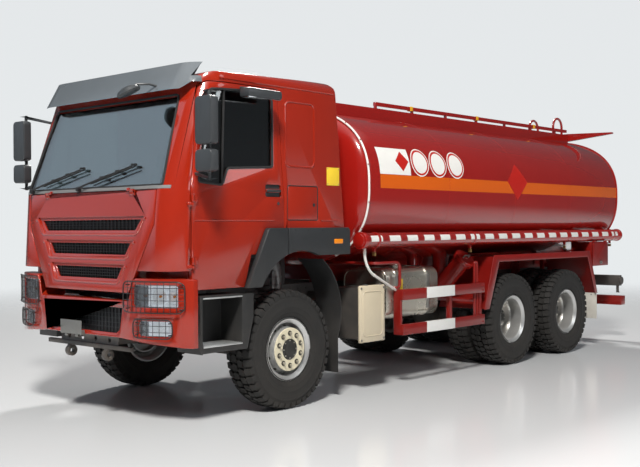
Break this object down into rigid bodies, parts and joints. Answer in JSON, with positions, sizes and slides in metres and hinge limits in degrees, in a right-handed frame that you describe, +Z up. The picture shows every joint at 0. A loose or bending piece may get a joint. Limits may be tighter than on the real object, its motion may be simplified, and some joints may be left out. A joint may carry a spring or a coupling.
{
  "type": "tanker truck",
  "caption": "Cab-over tanker truck with a steered front axle, a twin-wheel bogie, hinged cab doors, a closed tank with a top walkway, hose tubes and side guards.",
  "frame": {"origin": "on the ground, midway along and across the vehicle", "axes": "+Z up, -Y towards the front, +X towards the vehicle's left side"},
  "size_m": [2.94, 8.5, 3.277],
  "materials": {
    "chassis_paint": "satin black chassis paint",
    "cab_paint": "gloss orange-red",
    "tank_paint": "gloss crimson",
    "black_plastic": "grained",
    "grey_plastic": "smoky grey",
    "trim": "cab trim",
    "seat_cloth": "woven",
    "glass": "clear",
    "lamp_glass": "clear ribbed",
    "tyre": "matt",
    "rim_steel": "silver paint",
    "cast": "cast and painted",
    "alloy": "brushed",
    "cream": "cream cover, grey box",
    "flap": "pale rubber",
    "hose": "pale rubber"
  },
  "bodies": {
    "truck": {"chassis_frame": "chassis_paint", "engine_block": "cast", "radiator": "black_plastic", "front_axle": "cast", "rear_axles": "cast", "front_bumper": "cab_paint", "headlamps": "lamp_glass", "entry_steps": "black_plastic", "front_mudguards": "black_plastic", "cab_shell": "cab_paint", "windscreen": "glass", "sun_visor": "grey_plastic", "wipers": "black_plastic", "cab_flares": "black_plastic", "seats": "seat_cloth", "dashboard": "trim", "battery_box": "cream", "fuel_tank": "alloy", "air_tanks": "chassis_paint", "side_guards": "tank_paint", "rear_mudguards": "tank_paint", "mud_flaps": "flap", "valve_cabinet": "tank_paint", "rear_bumper": "tank_paint", "tank": "tank_paint", "tank_saddles": "tank_paint", "hose_tubes": "tank_paint", "walkway": "tank_paint", "rear_ladder": "tank_paint", "outlet_pipes": "tank_paint", "vent_hose": "hose"},
    "knuckle_left": {"knuckle_left": "cast"},
    "knuckle_right": {"knuckle_right": "cast"},
    "front_wheel_left": {"front_rim_left": "rim_steel", "front_tyre_left": "tyre"},
    "front_wheel_right": {"front_rim_right": "rim_steel", "front_tyre_right": "tyre"},
    "rear_wheel_1_left": {"rear_rims_1_left": "rim_steel", "rear_tyres_1_left": "tyre"},
    "rear_wheel_1_right": {"rear_rims_1_right": "rim_steel", "rear_tyres_1_right": "tyre"},
    "rear_wheel_2_left": {"rear_rims_2_left": "rim_steel", "rear_tyres_2_left": "tyre"},
    "rear_wheel_2_right": {"rear_rims_2_right": "rim_steel", "rear_tyres_2_right": "tyre"},
    "left_door": {"door_left": "cab_paint", "door_glass_left": "glass", "door_flare_left": "black_plastic", "mirrors_left": "grey_plastic"},
    "right_door": {"door_right": "cab_paint", "door_glass_right": "glass", "door_flare_right": "black_plastic", "mirrors_right": "grey_plastic"},
    "grille_panel": {"front_panel": "cab_paint"},
    "steering_wheel": {"steering_wheel": "black_plastic"},
    "cabinet_door": {"cabinet_door": "tank_paint"},
    "front_manhole_lid": {"manhole_lid_front": "tank_paint"},
    "rear_manhole_lid": {"manhole_lid_rear": "tank_paint"}
  },
  "joints": [
    {"name": "steer_left", "type": "hinge", "parent": "truck", "child": "knuckle_left", "pos_m": [0.93, -2.81, 0.545], "axis": [0, 0, 1], "range_deg": [-35, 35]},
    {"name": "steer_right", "type": "hinge", "parent": "truck", "child": "knuckle_right", "pos_m": [-0.93, -2.81, 0.545], "axis": [0, 0, 1], "range_deg": [-35, 35]},
    {"name": "steering_wheel_turn", "type": "hinge", "parent": "truck", "child": "steering_wheel", "pos_m": [0.56, -3.64, 2.03], "axis": [0, 0.5736, 0.8192], "range_deg": [-600, 600]},
    {"name": "front_wheel_left_spin", "type": "hinge", "parent": "knuckle_left", "child": "front_wheel_left", "pos_m": [1.015, -2.81, 0.545], "axis": [1, 0, 0], "continuous": true},
    {"name": "front_wheel_right_spin", "type": "hinge", "parent": "knuckle_right", "child": "front_wheel_right", "pos_m": [-1.015, -2.81, 0.545], "axis": [1, 0, 0], "continuous": true},
    {"name": "rear_wheel_1_left_spin", "type": "hinge", "parent": "truck", "child": "rear_wheel_1_left", "pos_m": [0.915, 1.015, 0.545], "axis": [1, 0, 0], "continuous": true},
    {"name": "rear_wheel_1_right_spin", "type": "hinge", "parent": "truck", "child": "rear_wheel_1_right", "pos_m": [-0.915, 1.015, 0.545], "axis": [1, 0, 0], "continuous": true},
    {"name": "rear_wheel_2_left_spin", "type": "hinge", "parent": "truck", "child": "rear_wheel_2_left", "pos_m": [0.915, 2.365, 0.545], "axis": [1, 0, 0], "continuous": true},
    {"name": "rear_wheel_2_right_spin", "type": "hinge", "parent": "truck", "child": "rear_wheel_2_right", "pos_m": [-0.915, 2.365, 0.545], "axis": [1, 0, 0], "continuous": true},
    {"name": "left_door_hinge", "type": "hinge", "parent": "truck", "child": "left_door", "pos_m": [1.167, -3.973, 1.5], "axis": [0, 0, -1], "range_deg": [0, 70]},
    {"name": "right_door_hinge", "type": "hinge", "parent": "truck", "child": "right_door", "pos_m": [-1.167, -3.973, 1.5], "axis": [0, 0, 1], "range_deg": [0, 70]},
    {"name": "grille_panel_hinge", "type": "hinge", "parent": "truck", "child": "grille_panel", "pos_m": [0, -4.186, 1.978], "axis": [-1, 0, 0], "range_deg": [0, 60]},
    {"name": "cabinet_door_hinge", "type": "hinge", "parent": "truck", "child": "cabinet_door", "pos_m": [1.234, 3.19, 1.444], "axis": [0, -1, 0], "range_deg": [0, 95]},
    {"name": "front_manhole_hinge", "type": "hinge", "parent": "truck", "child": "front_manhole_lid", "pos_m": [0, 0.148, 2.96], "axis": [-1, 0, 0], "range_deg": [0, 100]},
    {"name": "rear_manhole_hinge", "type": "hinge", "parent": "truck", "child": "rear_manhole_lid", "pos_m": [0, 2.618, 2.96], "axis": [-1, 0, 0], "range_deg": [0, 100]}
  ],
  "couplings": [
    {"joint": "steer_right", "follows": "steer_left", "ratio": 1},
    {"joint": "steering_wheel_turn", "follows": "steer_left", "ratio": 17}
  ]
}
